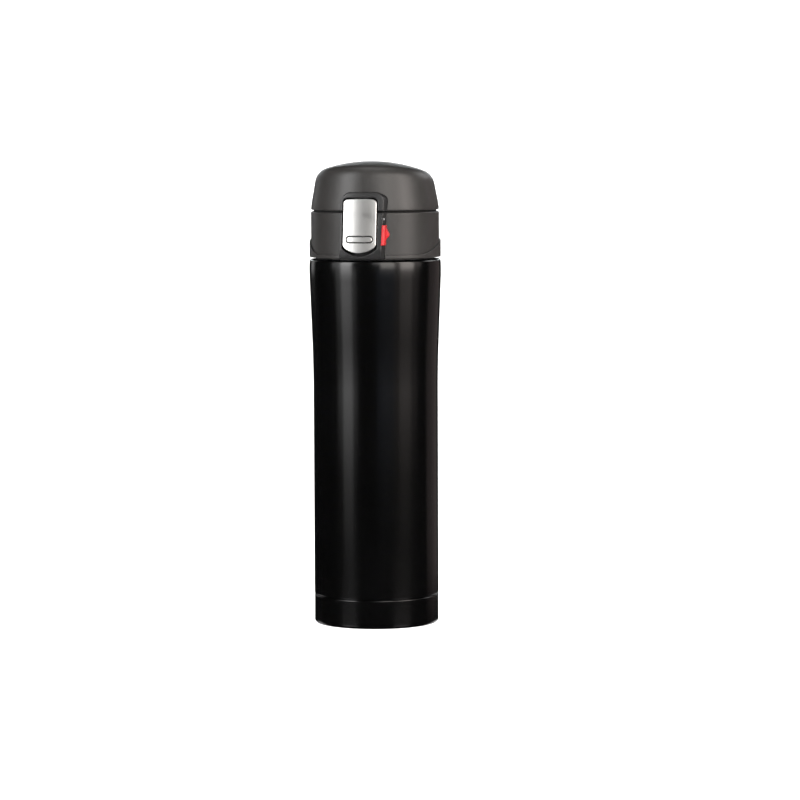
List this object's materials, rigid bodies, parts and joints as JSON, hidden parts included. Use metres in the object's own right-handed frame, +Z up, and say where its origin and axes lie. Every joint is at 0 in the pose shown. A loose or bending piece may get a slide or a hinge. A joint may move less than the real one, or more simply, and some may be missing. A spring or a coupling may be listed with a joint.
{
  "type": "vacuum flask",
  "caption": "Slim double-walled steel vacuum flask with a screw-on lid, a hinged domed flip cover, a front push-button latch and a red side lock slider.",
  "frame": {"origin": "on the bottle's axis, at the bottom of its foot ring", "axes": "+Z up along the bottle, -Y towards the push button, +Y towards the lid's hinge, +X towards the lock slider"},
  "size_m": [0.0692, 0.0764, 0.2431],
  "materials": {
    "body_lacquer": "satin-gloss black lacquer over steel",
    "steel": "bare stainless, fine electropolished grain",
    "lid_plastic": "matt charcoal, fine moulded texture",
    "frame_plastic": "semi-gloss black",
    "inner_plastic": "matt black",
    "button_metal": "satin brushed, debossed outline",
    "lock_red": "glossy red",
    "silicone": "translucent white silicone, matt",
    "spring_steel": "bright wire and pin stock",
    "mark": "white",
    "seal_glass": "fused solder glass",
    "getter": "sintered, matt"
  },
  "bodies": {
    "bottle": {"outer_shell": "body_lacquer", "inner_liner": "steel", "base_cup": "body_lacquer", "vacuum_base_disc": "steel", "glass_seal_bead": "seal_glass", "getter_pellet": "getter"},
    "gasket": {"stopper_gasket": "silicone"},
    "lid_base": {"lid_body": "lid_plastic", "stopper_core": "inner_plastic", "spout": "inner_plastic", "spout_gasket": "silicone", "hinge_collar": "lid_plastic", "hinge_pin": "spring_steel", "hinge_spring": "spring_steel", "lower_latch_frame": "frame_plastic", "latch_pin": "spring_steel", "latch_spring": "spring_steel", "lock_dot": "mark"},
    "latch_button": {"latch_lever": "inner_plastic", "button_plate": "button_metal"},
    "lock": {"lock_slider": "lock_red"},
    "flip_cover": {"cover_shell": "lid_plastic", "cover_liner": "inner_plastic", "upper_latch_frame": "frame_plastic", "spout_seal": "silicone", "liner_screw_right": "spring_steel", "liner_screw_left": "spring_steel"}
  },
  "joints": [
    {"name": "lid_lift", "type": "slide", "parent": "bottle", "child": "gasket", "axis": [0, 0, 1], "range_m": [0, 0.008]},
    {"name": "lid_unscrew", "type": "hinge", "parent": "gasket", "child": "lid_base", "pos_m": [0, 0, 0.2], "axis": [0, 0, 1], "range_deg": [0, 720]},
    {"name": "cover_open", "type": "hinge", "parent": "lid_base", "child": "flip_cover", "pos_m": [0, 0.03563, 0.21705], "axis": [-1, 0, 0], "range_deg": [0, 110]},
    {"name": "button_press", "type": "hinge", "parent": "lid_base", "child": "latch_button", "pos_m": [0, -0.03345, 0.2095], "axis": [1, 0, 0], "range_deg": [0, 6], "stiffness_Nm_per_rad": 0.3, "springref_deg": -2.86, "deforming": ["latch_spring"]},
    {"name": "lock_slide", "type": "slide", "parent": "lid_base", "child": "lock", "axis": [0.0298, 0.1181, 0.9926], "range_m": [0, 0.0046]}
  ],
  "couplings": [
    {"joint": "lid_lift", "follows": "lid_unscrew", "m_per_rad": 0.0006366}
  ]
}
